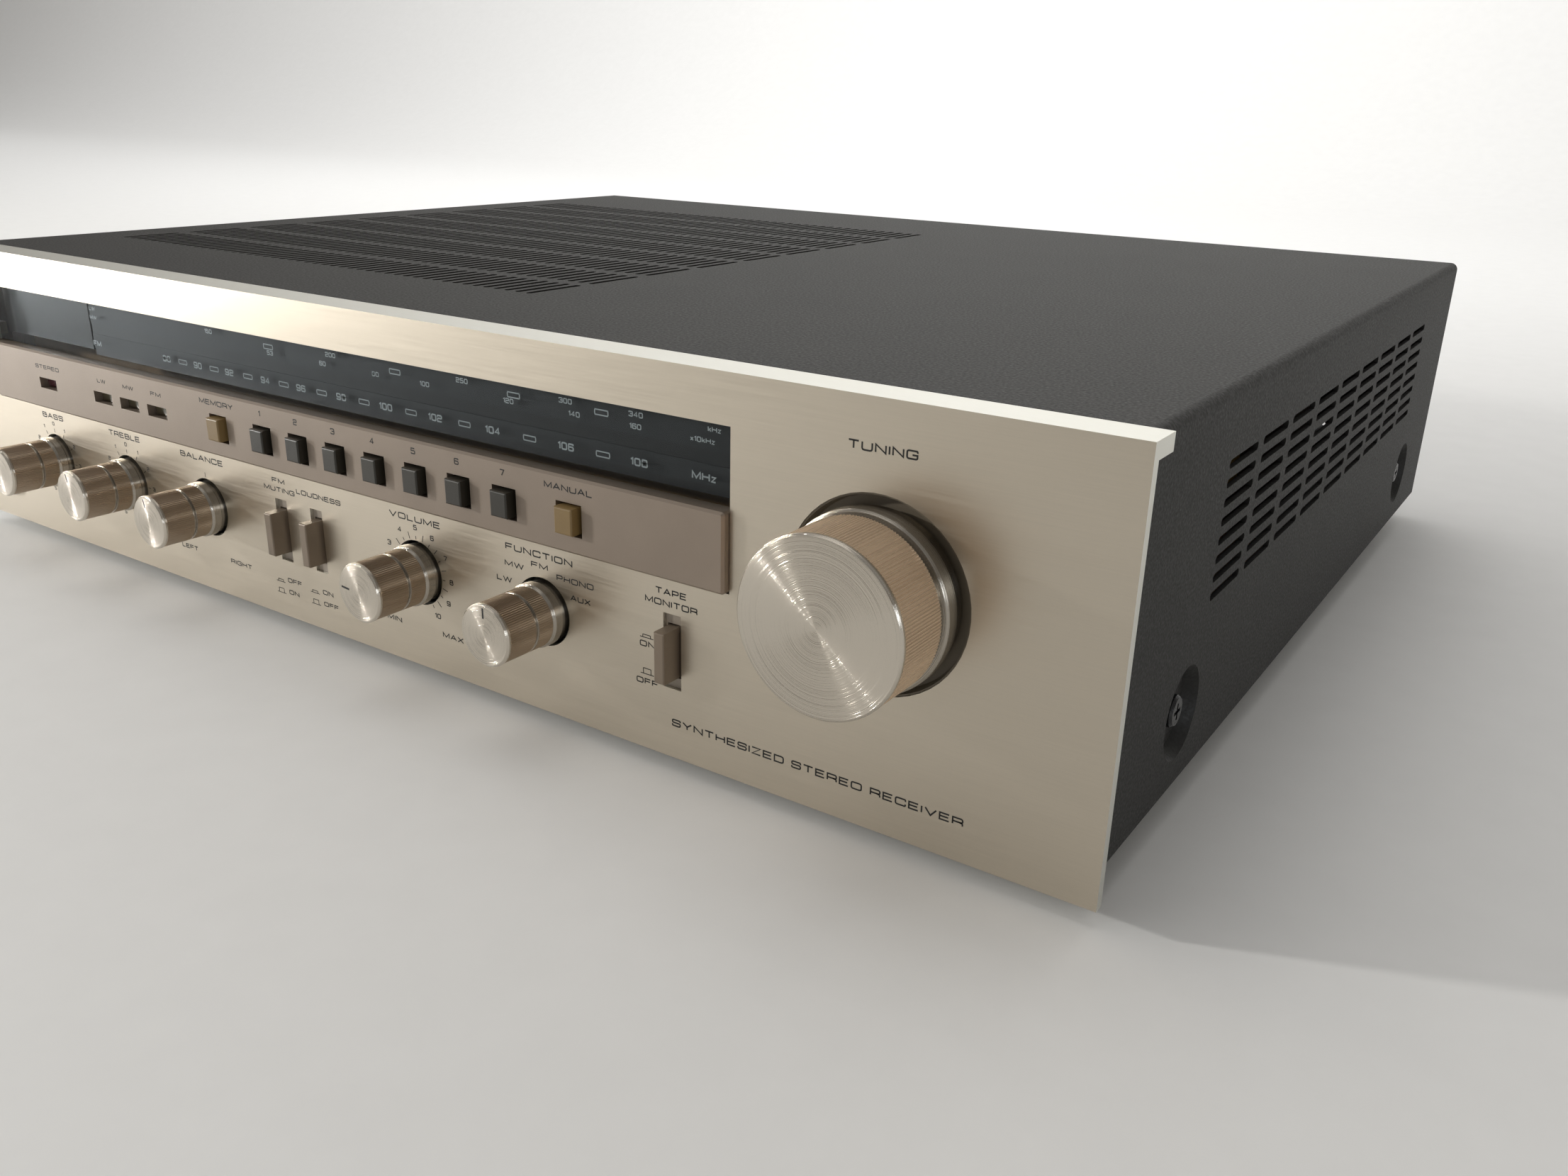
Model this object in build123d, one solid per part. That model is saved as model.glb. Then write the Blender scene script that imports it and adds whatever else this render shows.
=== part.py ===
"""Stereo receiver: slim silver front, dark ventilated case, knobs, push buttons and the works inside.

Frame: millimetres, +Z up, the front faces -Y, the origin is under the middle of the object at its feet.
"""
import os

from build123d import *

# Front panel
PANEL_W = 420.0
PANEL_H = 94.0
PANEL_T = 2.5
PANEL_BOTTOM = 4.0
PANEL_TOP = PANEL_BOTTOM + PANEL_H
FLANGE_DEPTH = 10.0
FLANGE_H = 3.7
CUTOUT_X = (-187.0, 120.8)
CUTOUT_Z = (49.2, 86.6)
GLASS_BOTTOM = 69.1
SUB_PANEL_TOP = 68.2
SUB_PANEL_PROUD = 2.1
GAP = 0.2

# Case and chassis, with depths counted back from the panel's front face
CASE_W = 415.8
CASE_BOTTOM = 9.7
CASE_DEPTH = 335.6
CASE_T = 1.2
CASE_BEND = 2.5
SHEET = 1.0
TRAY_W = 407.6
TRAY_BOTTOM = 10.7
TRAY_TOP = TRAY_BOTTOM + SHEET
TRAY_WALL_TOP = 44.0
CHASSIS_FRONT = 17.0
CHASSIS_BACK = CHASSIS_FRONT + CASE_T
REAR_FRONT = 333.2
REAR_BACK = REAR_FRONT + CASE_T
REAR_END = 345.6

# Vents and case screws
SLOT_L = 21.3
SLOT_W = 2.0
SLOT_PITCH = 4.25
COLUMN_PITCH = 25.66
COLUMNS = 9
SIDE_ROWS = 8
SIDE_FIRST_DEPTH = 57.2
SIDE_TOP_ROW = 81.2
TOP_SLOTS = 48
TOP_LAST_X = 13.4
TOP_FIRST_DEPTH = 50.0
DIMPLE_DEPTHS = (48.2, 291.6)
DIMPLE_Z = 27.3
DIMPLE_R = 11.0
SCREW_HOLE_R = 1.9

# Knobs: the front faces stand this far ahead of the panel
TUNING_X = 157.1
TUNING_Z = 57.4
TUNING_HOLE_R = 21.55
TUNING_FACE_R = 18.76
TUNING_PROUD = 21.7
KNOB_ROW_Z = 31.2
KNOB_HOLE_R = 8.92
KNOB_FACE_R = 7.89
KNOB_PROUD = 19.4
KNOB_BACK = 1.5
KNOBS = {"bass": -158.1, "treble": -115.4, "balance": -73.7, "volume": 19.0, "function": 63.9}
SHAFT_R = 3.0
SHAFT_BORE_R = 3.05
BUSHING_R = 3.5
BUSHING_FRONT = 10.0
SHAFT_END = 25.0
POT_R = 8.0
POT_BACK = 27.0

# Push buttons
PRESET_FIRST_X = -39.5
PRESET_PITCH = 15.73
PRESETS = 7
MEMORY_X = -59.85
MANUAL_X = 75.9
BUTTON_Z = 57.9
BUTTON_OPENING = 8.0
BUTTON_CAP = (5.5, 6.5)
BUTTON_PROUD = 4.3
LEVER_X = {"fm_muting": -37.75, "loudness": -22.15, "tape_monitor": 104.7}
LEVER_SLOT = (5.1, 18.6)
LEVER_BAR = (2.95, 12.6)
LEVER_PROUD = 5.0
POWER_X = -198.5
POWER_Z = 70.0
POWER_SIZE = (9.0, 16.0)
POWER_PROUD = 5.0
LED_X = (-152.2, -120.0, -105.45, -90.75)
LED_Z = 58.1
LED_WINDOW = (10.0, 3.5)

# Sockets
JACK_X = -193.0
JACK_Z = 19.0
JACK_BORE_R = 3.2
JACK_BODY_R = 5.0
PHONO_R = 4.2
PHONO_X = (-178.0, -158.0, -138.0, -118.0)
PHONO_Z = (28.0, 48.0)
SPEAKER_X = (-60.0, -30.0, 0.0, 30.0)
SPEAKER_Z = 38.0
ANTENNA_X = 85.0
ANTENNA_Z = 70.0
GLAND_X = 170.0
GLAND_Z = 32.0
GLAND_BORE_R = 3.5
FUSE_X = 140.0
FUSE_Z = 32.0

# Works inside
AMP_BOARD = (-180.0, 20.0, 120.0, 222.0)
TUNER_BOARD = (40.0, 190.0, 60.0, 200.0)
BOARD_Z = 20.0
BOARD_T = 1.6
SINK_X = (-170.0, 10.0)
SINK_DEPTH = 232.0
SINK_FINS = 19
TRANSFORMER_X = 138.0
TRANSFORMER_DEPTH = 262.0

FRONT = -(REAR_END - TUNING_PROUD) / 2
PRESET_X = [PRESET_FIRST_X + i * PRESET_PITCH for i in range(PRESETS)]
BUTTON_X = [MEMORY_X] + PRESET_X + [MANUAL_X]
BACK = (0, 1, 0)


def block(x, depth, z):
    """Box from three (low, high) pairs; depth is counted back from the panel's front face."""
    size = (x[1] - x[0], depth[1] - depth[0], z[1] - z[0])
    middle = ((x[0] + x[1]) / 2, FRONT + (depth[0] + depth[1]) / 2, (z[0] + z[1]) / 2)
    return Pos(*middle) * Box(*size)


def around(centre, width):
    return (centre - width / 2, centre + width / 2)


def rod(x, z, radius, depth):
    """Cylinder along Y."""
    plane = Plane(origin=(x, FRONT + depth[0], z), x_dir=(1, 0, 0), z_dir=BACK)
    return extrude(plane * Circle(radius), depth[1] - depth[0])


def post(x, depth, radius, z):
    """Cylinder along Z."""
    plane = Plane(origin=(x, FRONT + depth, z[0]))
    return extrude(plane * Circle(radius), z[1] - z[0])


def turned(x, z, profile):
    """Solid of revolution about a line along Y; profile is a closed list of (radius, depth)."""
    points = [(x + radius, FRONT + depth, z) for radius, depth in profile]
    face = make_face(Polyline(*points, close=True))
    return revolve(face, Axis((x, 0, z), (0, 1, 0)))


def joined(shapes):
    return Compound(children=[solid for shape in shapes for solid in shape.solids()])


def save(name, shape):
    export_step(shape, f"parts/{name}.step")


def slot_wire(centre, along, across, length, width):
    """Outline of a round-ended slot about a centre, its long side along one direction."""
    half = (length - width) / 2
    radius = width / 2
    centre, along, across = Vector(*centre), Vector(*along), Vector(*across)
    corners = [centre + along * (half * a) + across * (radius * b)
               for a, b in ((-1, -1), (1, -1), (1, 1), (-1, 1))]
    end = centre + along * (half + radius)
    start = centre - along * (half + radius)
    return Wire([Line(corners[0], corners[1]), ThreePointArc(corners[1], end, corners[2]),
                 Line(corners[2], corners[3]), ThreePointArc(corners[3], start, corners[0])])


# Front panel group

def front_panel():
    plate = block(around(0, PANEL_W), (0, PANEL_T), (PANEL_BOTTOM, PANEL_TOP))
    plate += block(around(0, PANEL_W), (0, FLANGE_DEPTH), (PANEL_TOP - FLANGE_H, PANEL_TOP))
    plate -= block(CUTOUT_X, (-1, PANEL_T + 1), CUTOUT_Z)
    plate -= rod(TUNING_X, TUNING_Z, TUNING_HOLE_R, (-1, PANEL_T + 1))
    for x in KNOBS.values():
        plate -= rod(x, KNOB_ROW_Z, KNOB_HOLE_R, (-1, PANEL_T + 1))
    for x in LEVER_X.values():
        plate -= block(around(x, LEVER_SLOT[0]), (-1, PANEL_T + 1), around(KNOB_ROW_Z, LEVER_SLOT[1]))
    plate -= block(around(POWER_X, POWER_SIZE[0] + 0.8), (-1, PANEL_T + 1),
                   around(POWER_Z, POWER_SIZE[1] + 0.8))
    plate -= rod(JACK_X, JACK_Z, JACK_BODY_R + 0.1, (-1, PANEL_T + 1))
    return plate


def sub_panel():
    width = CUTOUT_X[1] - CUTOUT_X[0] - 2 * GAP
    height = SUB_PANEL_TOP - CUTOUT_Z[0] - GAP
    middle = ((CUTOUT_X[0] + CUTOUT_X[1]) / 2, (SUB_PANEL_TOP + CUTOUT_Z[0] + GAP) / 2)
    plane = Plane(origin=(middle[0], FRONT - SUB_PANEL_PROUD, middle[1]), x_dir=(1, 0, 0), z_dir=BACK)
    plate = extrude(plane * RectangleRounded(width, height, 0.8), SUB_PANEL_PROUD + PANEL_T)
    plate = chamfer(plate.faces().sort_by(Axis.Y)[0].edges(), 0.6)
    depth = (-SUB_PANEL_PROUD - 1, PANEL_T + 1)
    for x in BUTTON_X:
        plate -= block(around(x, BUTTON_OPENING), depth, around(BUTTON_Z, BUTTON_OPENING))
    for x in LED_X:
        plate -= block(around(x, LED_WINDOW[0]), depth, around(LED_Z, LED_WINDOW[1]))
    return plate


def dial_glass():
    return block((CUTOUT_X[0] + GAP, CUTOUT_X[1] - GAP), (0.3, 2.3), (GLASS_BOTTOM, CUTOUT_Z[1] - GAP))


def dial_scale():
    return block((-131.0, CUTOUT_X[1] - GAP), (4.0, 5.0), (GLASS_BOTTOM + 0.4, CUTOUT_Z[1] - 0.4))


def frequency_display():
    return block((CUTOUT_X[0] + 1, -134.0), (5.0, 13.8), (GLASS_BOTTOM + 1.5, CUTOUT_Z[1] - 1.5))


def led_indicators():
    width, height = (size - 0.4 for size in LED_WINDOW)
    return joined([block(around(x, width), (0.4, 13.8), around(LED_Z, height)) for x in LED_X])


def tuning_recess():
    lip = TUNING_HOLE_R - 0.05
    outer = lip + 2.5
    return turned(TUNING_X, TUNING_Z, [(lip, 0.4), (lip, PANEL_T), (outer, PANEL_T), (outer, 4.2),
                                       (4.0, 4.2), (4.0, 3.0), (lip - 0.9, 3.0), (lip - 0.4, 0.4)])


def lever_surrounds():
    outer = [size - 0.1 for size in LEVER_SLOT]
    inner = [size + 0.8 for size in LEVER_BAR]
    shapes = []
    for x in LEVER_X.values():
        frame = block(around(x, outer[0]), (0.9, PANEL_T), around(KNOB_ROW_Z, outer[1]))
        frame += block(around(x, outer[0] + 3), (PANEL_T, 4.5), around(KNOB_ROW_Z, outer[1] + 3))
        shapes.append(frame - block(around(x, inner[0]), (0, 5), around(KNOB_ROW_Z, inner[1])))
    return joined(shapes)


def headphone_jack():
    body = turned(JACK_X, JACK_Z, [(JACK_BORE_R, -1.5), (JACK_BODY_R + 0.9, -1.5), (JACK_BODY_R + 1.2, -1.2),
                                   (JACK_BODY_R + 1.2, 0.0), (JACK_BODY_R, 0.0), (JACK_BODY_R, 16.0),
                                   (JACK_BORE_R, 16.0)])
    return body


# Case group

def top_cover():
    top = PANEL_TOP
    half = CASE_W / 2
    flat = half - CASE_BEND
    first = FRONT + FLANGE_DEPTH + 0.3
    last = FRONT + CASE_DEPTH
    lower, upper = top - CASE_T, top - CASE_BEND
    slots = []
    for column in range(COLUMNS):
        y = FRONT + TOP_FIRST_DEPTH + SLOT_L / 2 + column * COLUMN_PITCH
        for i in range(TOP_SLOTS):
            x = TOP_LAST_X - i * SLOT_PITCH
            slots.append(slot_wire((x, y, lower), (0, 1, 0), (1, 0, 0), SLOT_L, SLOT_W))
    outline = Wire(Polyline((-flat, first, lower), (flat, first, lower), (flat, last, lower),
                            (-flat, last, lower), close=True).edges())
    shapes = [extrude(Face(outline, slots), amount=CASE_T, dir=(0, 0, 1))]
    for side in (-1, 1):
        inner = side * (half - CASE_T)
        slots = []
        for column in range(COLUMNS):
            y = FRONT + SIDE_FIRST_DEPTH + SLOT_L / 2 + column * COLUMN_PITCH
            for row in range(SIDE_ROWS):
                z = SIDE_TOP_ROW - row * SLOT_PITCH
                slots.append(slot_wire((inner, y, z), (0, 1, 0), (0, 0, 1), SLOT_L, SLOT_W))
        for depth in DIMPLE_DEPTHS:
            slots.append(Wire.make_circle(DIMPLE_R + 1.2, Plane((inner, FRONT + depth, DIMPLE_Z),
                                                                z_dir=(1, 0, 0))))
        nose = FRONT + PANEL_T + 0.3
        under = top - FLANGE_H - 0.3
        outline = Wire(Polyline((inner, nose, CASE_BOTTOM), (inner, last, CASE_BOTTOM),
                                (inner, last, upper), (inner, first, upper), (inner, first, under),
                                (inner, nose, under), close=True).edges())
        shapes.append(extrude(Face(outline, slots), amount=CASE_T, dir=(side, 0, 0)))
        centre = (side * flat, first, upper)
        bend = Plane(origin=centre, x_dir=(side, 0, 0), z_dir=(0, 1, 0))
        ring = Circle(CASE_BEND) - Circle(CASE_BEND - CASE_T)
        quarter = ring & Pos(CASE_BEND / 2, -side * CASE_BEND / 2) * Rectangle(CASE_BEND, CASE_BEND)
        shapes.append(extrude(bend * quarter, last - first))
        for depth in DIMPLE_DEPTHS:
            shapes.append(screw_dimple(side, depth))
    cover = shapes[0]
    for shape in shapes[1:]:
        cover += shape
    return cover


def screw_dimple(side, depth):
    """Dished seat of a case screw, opening outward through the case's side."""
    profile = [(0, DIMPLE_R), (0, DIMPLE_R + 1.2), (CASE_T, DIMPLE_R + 1.2), (4.0, DIMPLE_R - 0.6),
               (4.0, SCREW_HOLE_R), (3.0, SCREW_HOLE_R), (3.0, DIMPLE_R - 2.2)]
    outer = side * CASE_W / 2
    y = FRONT + depth
    points = [(outer - side * inward, y, DIMPLE_Z + radius) for inward, radius in profile]
    return revolve(make_face(Polyline(*points, close=True)), Axis((0, y, DIMPLE_Z), (1, 0, 0)))


def case_screws():
    shapes = []
    for side in (-1, 1):
        seat = side * (CASE_W / 2 - 3.0)
        for depth in DIMPLE_DEPTHS:
            y = FRONT + depth
            plane = Plane(origin=(seat, y, DIMPLE_Z), z_dir=(side, 0, 0))
            head = extrude(plane * Circle(3.8), 2.0)
            head = chamfer(head.faces().sort_by(Axis.X)[-1 if side > 0 else 0].edges(), 0.6)
            for turn in (0, 90):
                cross = Pos(seat + side * 1.6, y, DIMPLE_Z) * Rot(turn, 0, 0) * Box(1.4, 4.0, 0.9)
                head -= cross
            shank = extrude(plane * Circle(1.5), -6.0)
            shapes.append(head + shank)
    return joined(shapes)


def chassis_tray():
    half = TRAY_W / 2
    tray = block((-half, half), (PANEL_T + 0.4, REAR_FRONT), (TRAY_BOTTOM, TRAY_TOP))
    for side in (-1, 1):
        wall = sorted((side * half, side * (half - SHEET)))
        tray += block(wall, (CHASSIS_BACK, REAR_FRONT), (TRAY_BOTTOM, TRAY_WALL_TOP))
        for depth in DIMPLE_DEPTHS:
            y = FRONT + depth
            plane = Plane(origin=(side * half, y, DIMPLE_Z), z_dir=(side, 0, 0))
            tray -= extrude(plane * Circle(SCREW_HOLE_R), 2 * SHEET, both=True)
    for i in range(10):
        x = -160 + i * 18
        tray -= block(around(x, 3), (262, 300), (TRAY_BOTTOM - 1, TRAY_TOP + 1))
    return tray


def front_chassis():
    half = TRAY_W / 2
    depth = (CHASSIS_FRONT - 1, CHASSIS_BACK + 1)
    plate = block((-half, half), (CHASSIS_FRONT, CHASSIS_BACK), (TRAY_TOP, 93.0))
    for x in KNOBS.values():
        plate -= rod(x, KNOB_ROW_Z, BUSHING_R + 0.1, depth)
    plate -= rod(TUNING_X, TUNING_Z, BUSHING_R + 0.1, depth)
    for x in LEVER_X.values():
        plate -= block(around(x, 9), depth, around(KNOB_ROW_Z, 16))
    plate -= block((-202.0, POWER_X + 6), depth, around(POWER_Z, 18))
    return plate


def rear_panel():
    depth = (REAR_FRONT - 1, REAR_BACK + 1)
    plate = block(around(0, TRAY_W), (REAR_FRONT, REAR_BACK), (TRAY_BOTTOM, PANEL_TOP - CASE_T - 0.3))
    for x in PHONO_X:
        for z in PHONO_Z:
            plate -= rod(x, z, PHONO_R + 0.1, depth)
    for x in SPEAKER_X:
        plate -= block(around(x, 16.4), depth, around(SPEAKER_Z, 12.4))
    plate -= rod(GLAND_X, GLAND_Z, GLAND_BORE_R + 1.8, depth)
    plate -= rod(FUSE_X, FUSE_Z, 5.1, depth)
    return plate


def feet():
    shapes = []
    for x in (-170, 170):
        for depth in (45, 300):
            foot = post(x, depth, 13, (0.0, TRAY_BOTTOM))
            shapes.append(chamfer(foot.faces().sort_by(Axis.Z)[0].edges(), 1.5))
    return joined(shapes)


# Knobs, shafts and buttons

def small_knob(x):
    body = KNOB_FACE_R - 0.25
    return turned(x, KNOB_ROW_Z, [(0, -KNOB_PROUD), (KNOB_FACE_R - 0.5, -KNOB_PROUD),
                                  (KNOB_FACE_R, -KNOB_PROUD + 0.5), (KNOB_FACE_R, -KNOB_PROUD + 1.0),
                                  (body, -KNOB_PROUD + 1.15), (body, -9.9), (body - 0.4, -9.7),
                                  (body - 0.4, -9.2), (body, -9.0), (body, -4.3), (8.2, -3.7),
                                  (8.2, -1.5), (7.9, -1.2), (7.9, KNOB_BACK), (SHAFT_R + 0.02, KNOB_BACK),
                                  (SHAFT_R + 0.02, -12.0), (0, -12.0)])


def tuning_knob():
    body = TUNING_FACE_R - 0.25
    return turned(TUNING_X, TUNING_Z, [(0, -TUNING_PROUD), (TUNING_FACE_R - 0.45, -TUNING_PROUD),
                                       (TUNING_FACE_R, -TUNING_PROUD + 0.45),
                                       (TUNING_FACE_R, -TUNING_PROUD + 1.0), (body, -TUNING_PROUD + 1.15),
                                       (body, -6.7), (body - 0.7, -6.4), (body - 0.7, -5.5), (18.9, -5.3),
                                       (19.4, -4.8), (19.4, -1.9), (18.9, -1.4), (18.6, -1.2), (18.6, 1.6),
                                       (SHAFT_R + 0.02, 1.6), (SHAFT_R + 0.02, -12.0), (0, -12.0)])


def shaft(x, z):
    return rod(x, z, SHAFT_R, (-11.9, SHAFT_END))


def bushed_body(x, z, body):
    """Body of a rotary control behind the chassis, with its bushing, bored for the shaft."""
    shape = body + rod(x, z, BUSHING_R, (BUSHING_FRONT, CHASSIS_BACK + 1))
    return shape - rod(x, z, SHAFT_BORE_R, (BUSHING_FRONT - 1, SHAFT_END + 0.5))


def potentiometers():
    names = ("bass", "treble", "balance", "volume")
    return joined([bushed_body(KNOBS[name], KNOB_ROW_Z,
                               rod(KNOBS[name], KNOB_ROW_Z, POT_R, (CHASSIS_BACK, POT_BACK)))
                   for name in names])


def function_switch():
    x = KNOBS["function"]
    body = block(around(x, 22), (CHASSIS_BACK, 40), around(KNOB_ROW_Z, 22))
    return bushed_body(x, KNOB_ROW_Z, body)


def tuning_encoder():
    body = rod(TUNING_X, TUNING_Z, 14, (CHASSIS_BACK, 34))
    return bushed_body(TUNING_X, TUNING_Z, body)


def button(x):
    cap = block(around(x, BUTTON_CAP[0]), (-BUTTON_PROUD, 3.0), around(BUTTON_Z, BUTTON_CAP[1]))
    cap = fillet(cap.faces().sort_by(Axis.Y)[0].edges(), 0.45)
    collar = block(around(x, 9.6), (3.0, 4.2), around(BUTTON_Z, 9.6))
    stem = block(around(x, 3), (4.2, 8.4), around(BUTTON_Z, 3))
    return cap + collar + stem


def lever(x):
    bar = block(around(x, LEVER_BAR[0]), (-LEVER_PROUD, 5.0), around(KNOB_ROW_Z, LEVER_BAR[1]))
    bar = fillet(bar.faces().sort_by(Axis.Y)[0].edges(), 0.4)
    collar = block(around(x, 6), (5.0, 6.2), around(KNOB_ROW_Z, 16))
    stem = block(around(x, 2.4), (6.2, 9.2), around(KNOB_ROW_Z, 4))
    return bar + collar + stem


def power_button():
    cap = block(around(POWER_X, POWER_SIZE[0]), (-POWER_PROUD, 4.0), around(POWER_Z, POWER_SIZE[1]))
    cap = fillet(cap.faces().sort_by(Axis.Y)[0].edges(), 0.6)
    collar = block(around(POWER_X, POWER_SIZE[0] + 3), (4.0, 5.2), around(POWER_Z, POWER_SIZE[1] + 3))
    stem = block(around(POWER_X, 4), (5.2, 9.2), around(POWER_Z, 4))
    return cap + collar + stem


def push_switches():
    shapes = [block(around(x, 6.2), (10.4, 14.0), around(BUTTON_Z, 6.2)) for x in BUTTON_X]
    for x in LEVER_X.values():
        shapes.append(block(around(x, 7), (12.8, 46.0), around(KNOB_ROW_Z, 14)))
    shapes.append(block((-201.5, POWER_X + 5), (12.8, 52.0), around(POWER_Z, 16)))
    return joined(shapes)


# Electronics

def control_board():
    return block((-189.0, 115.0), (14.0, 14.0 + BOARD_T), (44.0, 92.0))


def board(area):
    return block(area[:2], area[2:], (BOARD_Z, BOARD_Z + BOARD_T))


def corners(area, inset):
    return [(x, depth) for x in (area[0] + inset, area[1] - inset)
            for depth in (area[2] + inset, area[3] - inset)]


def board_standoffs():
    places = corners(AMP_BOARD, 6) + corners(TUNER_BOARD, 6)
    return joined([post(x, depth, 3, (TRAY_TOP, BOARD_Z)) for x, depth in places])


def board_components():
    base = BOARD_Z + BOARD_T
    shapes = []
    for i in range(9):
        for j in range(3):
            height = 10 + 3 * ((i + 2 * j) % 3)
            shapes.append(post(-168 + i * 20, 180 + j * 14, 3.2, (base, base + height)))
    for i in range(4):
        shapes.append(block(around(58 + i * 34, 20), around(76, 7), (base, base + 4)))
    for i in range(5):
        shapes.append(post(130 + i * 12, 150, 4, (base, base + 12)))
        shapes.append(block(around(130 + i * 12, 7.5), around(120, 7.5), (base, base + 11)))
    return joined(shapes)


def filter_capacitors():
    base = BOARD_Z + BOARD_T
    return joined([post(x, 148, 16, (base, base + 45)) for x in (-150.0, -112.0)])


def tuner_shield():
    base = BOARD_Z + BOARD_T
    box = block((54, 112), (96, 152), (base, base + 24))
    return box - block((54.6, 111.4), (96.6, 151.4), (base - 1, base + 23.4))


def heat_sink():
    sink = block(SINK_X, (SINK_DEPTH, SINK_DEPTH + 4), (TRAY_TOP, 76))
    pitch = (SINK_X[1] - SINK_X[0] - 2) / (SINK_FINS - 1)
    for i in range(SINK_FINS):
        x = SINK_X[0] + 1 + i * pitch
        sink += block(around(x, 2), (SINK_DEPTH + 4, SINK_DEPTH + 26), (TRAY_TOP, 76))
    return sink


def output_transistors():
    depth = (SINK_DEPTH - 5, SINK_DEPTH)
    return joined([block(around(x, 16), depth, (28, 49)) for x in (-150, -105, -60, -15)])


def transformer_core():
    x, depth = TRANSFORMER_X, TRANSFORMER_DEPTH
    base = TRAY_TOP
    core = block(around(x, 78), around(depth, 44), (base, base + 64))
    for side in (-1, 1):
        window = around(x + side * 19.5, 13)
        core -= block(window, around(depth, 46), (base + 13, base + 51))
    return core + block(around(x, 98), around(depth, 24), (base, base + 2))


def transformer_winding():
    x, depth = TRANSFORMER_X, TRANSFORMER_DEPTH
    base = TRAY_TOP
    coil = block(around(x, 51.6), around(depth, 72), (base + 13.4, base + 50.6))
    coil = fillet(coil.edges().filter_by(Axis.Z), 8)
    return coil - block(around(x, 26.4), around(depth, 44.4), (base + 13, base + 51))


# Rear sockets

def phono_jacks():
    shapes = []
    for x in PHONO_X:
        for z in PHONO_Z:
            jack = rod(x, z, PHONO_R, (REAR_FRONT - 6, REAR_END - 1))
            jack += rod(x, z, 5.6, (REAR_BACK, REAR_BACK + 1.2))
            shapes.append(jack - rod(x, z, 1.7, (REAR_END - 9, REAR_END)))
    return joined(shapes)


def speaker_sockets():
    shapes = []
    for x in SPEAKER_X:
        socket = block(around(x, 24), (REAR_BACK, REAR_BACK + 1.5), around(SPEAKER_Z, 18))
        socket += block(around(x, 16), (REAR_FRONT - 8, REAR_BACK), around(SPEAKER_Z, 12))
        socket -= rod(x, SPEAKER_Z - 3.2, 1.2, (REAR_BACK - 6, REAR_END))
        socket -= block(around(x, 5), (REAR_BACK - 6, REAR_END), around(SPEAKER_Z + 3.2, 1.4))
        shapes.append(socket)
    return joined(shapes)


def antenna_terminals():
    base = block(around(ANTENNA_X, 78), (REAR_BACK, REAR_BACK + 2.5), around(ANTENNA_Z, 20))
    base += rod(ANTENNA_X - 28, ANTENNA_Z, 6.5, (REAR_BACK + 2.5, REAR_END - 1))
    base -= rod(ANTENNA_X - 28, ANTENNA_Z, 4.75, (REAR_BACK + 4, REAR_END))
    base += rod(ANTENNA_X - 28, ANTENNA_Z, 1.2, (REAR_BACK + 3, REAR_END - 2))
    for i in range(4):
        x = ANTENNA_X - 8 + i * 13
        base += rod(x, ANTENNA_Z, 3.6, (REAR_BACK + 2.5, REAR_BACK + 5.5))
        base -= block(around(x, 7.4), (REAR_BACK + 4.5, REAR_BACK + 6), around(ANTENNA_Z, 1))
    return base


def mains_gland():
    return turned(GLAND_X, GLAND_Z, [(GLAND_BORE_R, REAR_FRONT - 6), (GLAND_BORE_R + 1.7, REAR_FRONT - 6),
                                     (GLAND_BORE_R + 1.7, REAR_BACK), (8.0, REAR_BACK),
                                     (8.0, REAR_BACK + 2.5),
                                     (6.0, REAR_BACK + 3.0), (5.2, REAR_END), (GLAND_BORE_R, REAR_END)])


def fuse_holder():
    holder = rod(FUSE_X, FUSE_Z, 5.0, (REAR_FRONT - 30, REAR_BACK + 1))
    holder += rod(FUSE_X, FUSE_Z, 8.0, (REAR_BACK, REAR_BACK + 2))
    holder += rod(FUSE_X, FUSE_Z, 6.0, (REAR_BACK + 2, REAR_END - 2))
    return holder - block(around(FUSE_X, 8), (REAR_END - 3.2, REAR_END), around(FUSE_Z, 1.2))


os.makedirs("parts", exist_ok=True)

FIXED_PIECES = (front_panel, sub_panel, dial_glass, dial_scale, frequency_display, led_indicators,
                tuning_recess, lever_surrounds, headphone_jack, top_cover, case_screws, chassis_tray,
                front_chassis, rear_panel, feet, potentiometers, function_switch,
                tuning_encoder, push_switches, control_board, board_standoffs, board_components,
                filter_capacitors, tuner_shield, heat_sink, output_transistors, transformer_core,
                transformer_winding, phono_jacks, speaker_sockets, antenna_terminals, mains_gland,
                fuse_holder)
for piece in FIXED_PIECES:
    save(piece.__name__, piece())
save("amplifier_board", board(AMP_BOARD))
save("tuner_board", board(TUNER_BOARD))

for name, x in KNOBS.items():
    save(f"{name}_knob", small_knob(x))
    save(f"{name}_shaft", shaft(x, KNOB_ROW_Z))
save("tuning_knob", tuning_knob())
save("tuning_shaft", shaft(TUNING_X, TUNING_Z))
for name, x in LEVER_X.items():
    save(f"{name}_button", lever(x))
for number, x in enumerate(PRESET_X, start=1):
    save(f"preset_button_{number}", button(x))
save("memory_button", button(MEMORY_X))
save("manual_button", button(MANUAL_X))
save("power_button", power_button())
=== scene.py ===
"""Looks of the stereo receiver: materials, lettering, knurled knob sleeves, studio and camera."""
import math

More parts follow.
